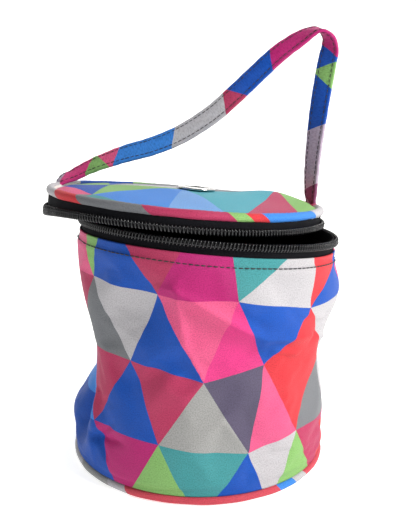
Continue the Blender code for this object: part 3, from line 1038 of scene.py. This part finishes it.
def lid_surface(x, y):
    """Height of the lid's top: the padded dome, slight waves and a fall at the sewn edge."""
    reach = math.hypot(x, y) / (LID_RADIUS - 1.5)
    angle = math.degrees(math.atan2(x, -y))
    crown = LID_CROWN * (1 - min(reach, 1.0) ** 2)
    full_x, full_y, spread, rise = PADDING
    mound = rise * bump(math.hypot(x - full_x, y - full_y), spread)
    dip = -0.5 * bump(math.hypot(x - EYELET_X, y), 11)
    ripple = 0.22 * math.sin(x * 0.19 + 0.7) * math.sin(y * 0.16 + 0.4)
    edge = -1.1 * ease((reach - 0.92) / 0.08)
    return LID_TOP + crown + mound + dip + ripple + edge + lid_bend(angle).z * min(reach, 1.0) ** 2


def lid_frame():
    return MOUTH @ Matrix.Translation((LID_SHIFT, 0, 0))


def stretched_to_rim(x, y):
    """Draws a point of the flat lid out with the soft rim."""
    reach = math.hypot(x, y) / LID_RADIUS
    bend = lid_bend(math.degrees(math.atan2(x, -y)))
    return x + bend.x * reach ** 2, y + bend.y * reach ** 2


def make_lid(cloth, lining):
    frame_matrix = lid_frame()

    top = disc_mesh(
        "lid_printed_cloth", LID_RADIUS - 1.3, lid_surface, CLOTH, LID_LATTICE.find,
        hole=5.5, hole_x=EYELET_X, rings=40,
    )
    for vert in top.data.vertices:
        point = vert.co / MM
        x, y = stretched_to_rim(point.x, point.y)
        vert.co = frame_matrix @ Vector((x, y, point.z)) * MM
    dress(top, cloth, "lid", "lid_cloth", slot="printed_cloth")

    def underside(x, y):
        reach = math.hypot(x, y) / LID_RADIUS
        dome = (LID_CROWN - 0.4) * (1 - reach ** 2)
        return LID_UNDERSIDE + 0.35 + dome + 0.12 * math.sin(x * 0.3) * math.sin(y * 0.26)

    under = disc_mesh(
        "lid_black_lining", LID_RADIUS - 2.0, underside, LINING, flat_lattice, frame_matrix,
        hole=5.6, hole_x=EYELET_X,
    )
    dress(under, lining, "lid", "lid_lining", slot="black_lining")
    rings = welt_rings(
        LID_RADIUS, lambda angle: LID_WELT_HEIGHT + lid_bend(angle).z, lambda angle: lid_bend(angle).xy.length
    )
    rings = [[frame_matrix @ point for point in ring] for ring in rings]
    welt = loft("lid_welt_cover", rings, closed_path=True, maps=welt_maps(LID_RADIUS))
    look = stripe_print("print_lid_welt", ring_stops(LID_WELT_PRINT), 0.006)
    dress(welt, look, "lid", "lid_welt", slot="printed_cloth")


def turned(name, profile, steps, matrix, look, body, node):
    """A piece turned about the Z axis of a frame, from (radius, height) points."""
    rings = []
    for k in range(steps):
        rings.append([matrix @ ring_point(360 * k / steps, radius, height) for radius, height in profile])
    piece = loft(name, rings, closed_path=True)
    return dress(piece, look, body, node, slot="eyelet_steel")


def arc_points(radius, start, end, count, centre):
    points = []
    for k in range(count):
        turn = math.radians(start + (end - start) * k / (count - 1))
        points.append((centre[0] + radius * math.cos(turn), centre[1] + radius * math.sin(turn)))
    return points


def make_eyelet(steel):
    """A rolled eyelet: bright dome outside, clinched lip and washer under the lid."""
    matrix = lid_frame() @ Matrix.Translation((EYELET_X, 0, 0))
    seat = EYELET_SEAT
    under = LID_UNDERSIDE + LID_CROWN - 0.7
    profile = [(EYELET_BORE, under), (EYELET_BORE, seat - 0.2)]
    profile += arc_points(1.5, 175, 80, 9, (EYELET_BORE + 1.5, seat - 0.3))
    profile += arc_points(0.55, 75, -80, 7, (EYELET_FLANGE - 0.55, seat + 0.35))
    profile += [(6.6, seat - 0.15), (EYELET_BORE + 0.45, seat - 0.5), (EYELET_BORE + 0.45, under)]
    profile += arc_points(0.6, 60, -120, 6, (EYELET_BORE + 1.1, under - 0.4))
    turned("eyelet_ring", profile, 96, matrix, steel, "lid", "eyelet")
    washer = arc_points(0.28, 90, -90, 5, (EYELET_FLANGE - 0.3, under - 0.05))
    washer += arc_points(0.28, -90, -270, 5, (6.3, under - 0.05))
    turned("eyelet_washer_ring", washer, 96, matrix, steel, "lid", "eyelet_washer")


# ---- slider -------------------------------------------------------------------------------------
OUTER_PLATE = (64.8, 65.8)       # faces of the slider's plates, as radii of the mouth
INNER_PLATE = (59.9, 60.9)


def slider_frame():
    """X outwards, Y along the zip away from the hinge, Z across the zip, from the pull's pivot."""
    pivot = MOUTH.inverted() @ (Vector(JOINTS["pull_swing"]["pos_m"]) / MM)
    turn = math.atan2(pivot.y, pivot.x)
    return MOUTH @ Matrix.Rotation(turn, 4, "Z"), math.hypot(pivot.x, pivot.y)


def plate(outline, low, high, bevel=0.25):
    """A flat stamping in the slider's YZ plane between two X levels, with rounded edges."""
    bm = bmesh.new()
    face = bm.faces.new([bm.verts.new((low, y, z)) for y, z in outline])
    made = bmesh.ops.extrude_face_region(bm, geom=[face])
    top = [item for item in made["geom"] if isinstance(item, bmesh.types.BMVert)]
    bmesh.ops.translate(bm, vec=(high - low, 0, 0), verts=top)
    bmesh.ops.recalc_face_normals(bm, faces=bm.faces)
    rim = [edge for edge in bm.edges if abs(edge.verts[0].co.x - edge.verts[1].co.x) < 1e-4]
    bmesh.ops.bevel(bm, geom=rim, offset=bevel, segments=2, affect="EDGES", profile=0.6)
    return bm


def merge(name, parts, matrix):
    """Joins bmesh parts into one object and places it."""
    mesh = bpy.data.meshes.new(name)
    whole = bmesh.new()
    for part in parts:
        part.to_mesh(mesh)
        part.free()
        whole.from_mesh(mesh)
    bmesh.ops.transform(whole, matrix=Matrix.Scale(MM, 4) @ matrix, verts=whole.verts)
    whole.to_mesh(mesh)
    whole.free()
    mesh.shade_smooth()
    mesh.set_sharp_from_angle(angle=math.radians(35))
    return add_object(name, mesh)


def bent_bar(path, radius):
    bm = bmesh.new()
    rings = tube_rings([Vector(p) for p in path], radius, 12)
    verts = [[bm.verts.new(point) for point in ring] for ring in rings]
    for first, second in zip(verts, verts[1:]):
        for k in range(12):
            bm.faces.new((first[k], first[(k + 1) % 12], second[(k + 1) % 12], second[k]))
    bm.faces.new(verts[0][::-1])
    bm.faces.new(verts[-1])
    bmesh.ops.recalc_face_normals(bm, faces=bm.faces)
    return bm


def shield(half_long, half_wide, nose):
    """The slider's outline: broad at the mouth end, with the nose narrowed."""
    points = []
    for share in range(13):
        turn = math.radians(-90 + 15 * share)
        points.append((half_long - 2.2 + 2.2 * math.cos(turn), (half_wide - nose) * math.sin(turn)))
    for share in range(13):
        turn = math.radians(90 + 15 * share)
        points.append((-half_long + 1.4 + 1.4 * math.cos(turn), half_wide * math.sin(turn)))
    return points


def make_slider(metal):
    matrix, pivot = slider_frame()
    parts = [
        plate(shield(6.0, 5.0, 0.8), *OUTER_PLATE),
        plate(shield(6.0, 4.6, 0.8), *INNER_PLATE),
        plate([(1.4, -0.5), (5.2, -0.5), (5.2, 0.5), (1.4, 0.5)], 60.7, 65.0, 0.1),
    ]
    for side in (-1, 1):
        flange = [(-5.2, side * 4.5), (5.0, side * 4.5), (5.0, side * 5.0), (-5.2, side * 5.0)]
        parts.append(plate(flange, 62.7, 65.0, 0.1))
    arch = []
    for k in range(17):
        turn = math.pi * k / 16
        arch.append((65.4 + 3.4 * math.sin(turn) ** 0.55, 0, -4.2 * math.cos(turn)))
    parts.append(bent_bar(arch, 0.55))
    dress(merge("slider_body", parts, matrix), metal, "slider", "zip_slider", slot="slider_metal")
    make_pull(metal, matrix @ Matrix.Translation((pivot, 0, 0)))


def make_pull(metal, matrix):
    """A stamped tab with an eye at the bridge, a hole at its round end and rounded edges."""
    length, half_wide = 24.0, 2.7
    end = length - half_wide
    outline = [(0.6, -2.5), (0.6, 2.5), (-5.8, 2.6), (-8.0, 2.1), (-12.0, 2.3), (-end, half_wide)]
    outline += [(-end - y, x) for x, y in arc_points(half_wide, 0, 180, 13, (0, 0))][1:]
    outline += [(-12.0, -2.3), (-8.0, -2.1), (-5.8, -2.6)]
    tab = merge("pull_tab", [plate(outline, -0.55, 0.55, 0.2)], matrix)
    eye = [(-0.7, -1.5), (-0.7, 1.5), (-5.2, 1.5), (-5.2, -1.5)]
    hole = [(y - end, x) for x, y in arc_points(1.2, 0, 345, 24, (0, 0))]
    cutters = [
        merge("cutter_eye", [plate(eye, -3, 3, 0.1)], matrix),
        merge("cutter_hole", [plate(hole, -3, 3, 0.05)], matrix),
    ]
    for cutter in cutters:
        cut = tab.modifiers.new("cut", "BOOLEAN")
        cut.operation = "DIFFERENCE"
        cut.object = cutter
    apply_modifiers(tab)
    for cutter in cutters:
        bpy.data.objects.remove(cutter)
    dress(tab, metal, "pull", "slider_pull", slot="slider_metal")


# ---- strap --------------------------------------------------------------------------------------
# Middle line of the strap from its left root to its right root, from the middle of the lid in the mouth
# frame, and the turn of its flat side: 0 lies along Y, 90 would face the front.
STRAP_LINE = [
    ((-62.6, 13.6, 9.0), -16), ((-60.5, 13.5, 11.6), -24), ((-57.0, 13.5, 13.4), -30),
    ((-52.6, 13.2, 16.0), -36), ((-47.8, 12.3, 19.0), -40), ((-41.3, 11.0, 22.3), -46),
    ((-30.8, 9.5, 27.0), -58), ((-18.3, 7.7, 31.8), -66), ((-5.3, 5.7, 38.7), -68),
    ((7.7, 3.1, 48.7), -68), ((17.2, 1.4, 58.6), -68), ((25.7, 0.5, 68.2), -66),
    ((35.2, -0.4, 78.7), -60), ((44.2, -0.9, 86.3), -46), ((51.2, -1.3, 90.7), -18),
    ((56.3, -1.2, 88.9), 14), ((58.3, -0.7, 83.7), 46), ((57.9, 0.8, 75.8), 62),
    ((57.2, 4.3, 57.9), 58), ((57.3, 8.7, 38.2), 44), ((58.1, 11.7, 22.2), 34),
    ((59.2, 13.3, 12.6), 20), ((60.2, 13.6, 8.8), 16),
]
STRAP_STEPS = 260
STRAP_SEAM = 1.5                 # stitched channels, from the edges of the strap
STRAP_CHANNEL = 0.22             # their depth
STRAP_SQUARENESS = 0.42          # below 1, the folded section is fuller than an oval


def spline(values, share):
    """Smooth value along a list of evenly counted points (Catmull-Rom)."""
    place = share * (len(values) - 1)
    index = min(int(place), len(values) - 2)
    t = place - index
    p0 = values[max(index - 1, 0)]
    p1, p2 = values[index], values[index + 1]
    p3 = values[min(index + 2, len(values) - 1)]
    return 0.5 * (2 * p1 + (p2 - p0) * t + (2 * p0 - 5 * p1 + 4 * p2 - p3) * t * t
                  + (3 * p1 - p0 - 3 * p2 + p3) * t ** 3)


def strap_frames():
    """Middle point, width direction and outward direction at even steps along the strap."""
    places = [Vector(point) for point, _ in STRAP_LINE]
    turns = [float(turn) for _, turn in STRAP_LINE]
    matrix = lid_frame()
    points = [spline(places, k / STRAP_STEPS) for k in range(STRAP_STEPS + 1)]
    frames = []
    length = 0.0
    for k, point in enumerate(points):
        along = (points[min(k + 1, STRAP_STEPS)] - points[max(k - 1, 0)]).normalized()
        across = (Vector((0, 1, 0)) - along * along.y).normalized()
        turn = math.radians(spline(turns, k / STRAP_STEPS))
        across = Matrix.Rotation(turn, 3, -along) @ across
        out = along.cross(across)
        if k:
            length += (point - points[k - 1]).length
        frames.append((matrix @ point, matrix.to_3x3() @ across, matrix.to_3x3() @ out, length))
    return frames


def strap_section_points(distance, sides=28):
    """The folded strap's section: flat faces, full folded edges, and two shallow stitched channels."""
    points = []
    for across, out in circle(STRAP_WIDTH / 2, STRAP_THICK / 2, sides, STRAP_SQUARENESS):
        channel = bump(abs(across) - STRAP_WIDTH / 2 + STRAP_SEAM, 0.55)
        crumple = 0.16 * math.sin(distance * 0.9 + across) * math.sin(distance * 0.23)
        pucker = 0.05 * math.sin(distance * 2 * math.pi / 2.4)
        out = math.copysign(abs(out) - (STRAP_CHANNEL + pucker) * channel, out) + crumple
        points.append((across, out))
    return points


def make_strap(look, thread):
    frames = strap_frames()
    total = frames[-1][3]
    rings = []
    for point, across, out, distance in frames:
        section = strap_section_points(distance)
        rings.append([point + across * a + out * b for a, b in section])
    sides = len(rings[0])

    def print_uv(i, j):
        turn = 2 * math.pi * j / sides
        wide = 0.5 + 0.36 * math.copysign(abs(math.cos(turn)) ** STRAP_SQUARENESS, math.cos(turn))
        return frames[i][3] / total * 16 - 8 - wide / 2, wide

    maps = {"Print": print_uv, "Cloth": lambda i, j: (frames[i][3], 0.8 * j)}
    strap = loft("strap_printed_cloth", rings, caps=True, maps=maps)
    dress(strap, look, None, "carry_strap", "strap_root_left", "strap_root_right", slot="printed_cloth")
    pieces = [strap]
    lift = STRAP_THICK / 2 - STRAP_CHANNEL
    for face in (-1, 1):
        for side in (-1, 1):
            reach = side * (STRAP_WIDTH / 2 - STRAP_SEAM)
            points = [p + a * reach + o * face * lift for p, a, o, _ in frames]
            outs = [o * face for _, _, o, _ in frames]
            name = f"strap_stitching_{'outer' if face > 0 else 'inner'}_{'front' if side < 0 else 'rear'}"
            pieces.append(dress(stitch_row(name, points, outs, 1.9, 0.5, 0.2), thread, None, slot="zip_tape"))
    for piece in pieces:
        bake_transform(piece)


# ---- hidden pieces, stage, lights and camera ----------------------------------------------------
def finish_hidden():
    """Pieces inside the seams keep their solids and get the finish of what they are made of."""
    looks = {
        "base_board": plain("board_sheet", (0.50, 0.49, 0.46), (0.60, 0.59, 0.55), 0.6),
        "base_welt_cord": plain("cord_cotton", (0.55, 0.53, 0.48), (0.75, 0.73, 0.68), 0.9, scale=1800.0),
        "lid_foam": plain("foam_sheet", (0.62, 0.61, 0.58), (0.74, 0.73, 0.70), 0.95,
                          scale=2200.0, depth=0.08),
    }
    looks["lid_welt_cord"] = looks["base_welt_cord"]
    for node, look in looks.items():
        mesh = frame["nodes"][node].data
        mesh.materials.clear()
        mesh.materials.append(look)


def area_light(name, place, target, size, power, colour=(1, 1, 1)):
    data = bpy.data.lights.new(name, "AREA")
    data.shape = "RECTANGLE"
    data.size, data.size_y = size
    data.energy = power
    data.color = colour
    lamp = add_object(name, data)
    lamp.location = place
    lamp.rotation_euler = (Vector(target) - Vector(place)).to_track_quat("-Z", "Y").to_euler()


def make_stage():
    """A pale floor that sweeps up into a backdrop, soft daylight, and a low warm key from the right."""
    look = Look("pale_floor", 0.9)
    grain = look.noise(look.place(), 220.0, 2.0)
    look.colour(look.ramp(grain, [(0.3, (0.70, 0.70, 0.695)), (0.7, (0.74, 0.74, 0.735))]))
    look.shader.inputs["Emission Color"].default_value = (1, 1, 0.985, 1)
    look.shader.inputs["Emission Strength"].default_value = 0.72
    look.shader.inputs["Specular IOR Level"].default_value = 0.1
    path = [(-2500, 0), (900, 0)]
    for turn in range(10, 91, 10):
        slope = math.radians(turn)
        path.append((900 + 500 * math.sin(slope), 500 - 500 * math.cos(slope)))
    path.append((1400, 3000))
    rows = [[Vector((x, y, z)) for x in (-3000, 3000)] for y, z in path]
    floor = loft("floor", rows, closed_section=False)
    floor.data.materials.append(look.material)
    world = bpy.data.worlds.new("studio")
    bpy.context.scene.world = world
    world.use_nodes = True
    tree = world.node_tree
    split = tree.nodes.new("ShaderNodeSeparateXYZ")
    tree.links.new(tree.nodes.new("ShaderNodeTexCoord").outputs["Generated"], split.inputs[0])
    sky = tree.nodes.new("ShaderNodeValToRGB")
    stops = ((0.22, (0.9, 0.9, 0.89, 1)), (0.40, (0.13, 0.135, 0.14, 1)))
    for element, (place, colour) in zip(sky.color_ramp.elements, stops):
        element.position = place
        element.color = colour
    tree.links.new(split.outputs["Z"], sky.inputs[0])
    tree.links.new(sky.outputs[0], tree.nodes["Background"].inputs[0])
    area_light("key", (0.62, -0.38, 0.62), (0, 0, 0.08), (0.25, 0.25), 9.8, (1.0, 0.98, 0.95))
    area_light("fill", (-0.5, -0.8, 0.30), (0, 0, 0.08), (0.6, 0.6), 0.4, (0.94, 0.97, 1.0))
    area_light("rim", (0.1, 0.7, 0.8), (0, 0, 0.10), (0.5, 0.4), 2.5)


CAMERA_PLACE = (3.4, -400.0, 204.0)
CAMERA_DOWN = 15.0               # degrees
CAMERA_ROLL = 1.0                # degrees
CAMERA_LENS = 61.1


def make_camera():
    data = bpy.data.cameras.new("camera")
    data.lens = CAMERA_LENS
    data.sensor_width = 36.0
    data.clip_start = 0.01
    camera = add_object("camera", data)
    tilt = Matrix.Rotation(math.radians(90 - CAMERA_DOWN), 4, "X")
    roll = Matrix.Rotation(math.radians(CAMERA_ROLL), 4, "Z")
    camera.matrix_world = Matrix.Translation(Vector(CAMERA_PLACE) * MM) @ tilt @ roll
    bpy.context.scene.camera = camera


def main():
    bpy.context.scene.view_settings.view_transform = "Standard"
    make_camera()
    make_stage()
    wall_look = triangle_print("print_wall", WALL_PRINT)
    lid_look = triangle_print("print_lid", LID_PRINT)
    strap_look = triangle_print("print_strap", STRAP_PRINT)
    lining = black_weave("lining_black", 0.5, 0.04)
    tape = black_weave("tape_black", 0.9, 0.10)
    nylon = plain("nylon_black", (0.004, 0.004, 0.005), (0.010, 0.010, 0.012), 0.24, scale=700.0, depth=0.01)
    thread = plain("thread_black", (0.008, 0.008, 0.010), (0.03, 0.03, 0.035), 0.55, scale=3000.0, depth=0.05)
    steel = plain("nickel_bright", (0.50, 0.49, 0.48), (0.60, 0.59, 0.58), 0.20, 1.0,
                  scale=400.0, depth=0.004)
    metal = plain("enamel_black", (0.018, 0.018, 0.020), (0.03, 0.03, 0.034), 0.30, 0.6,
                  scale=600.0, depth=0.01)
    wall_rings = make_wall(wall_look)
    make_wall_lining(lining, wall_rings)
    make_base(lid_look, lining)
    make_zip(tape, nylon, thread, wall_rings)
    make_hinge(wall_look)
    make_lid(lid_look, lining)
    make_eyelet(steel)
    make_slider(metal)
    make_strap(strap_look, thread)
    finish_hidden()


main()
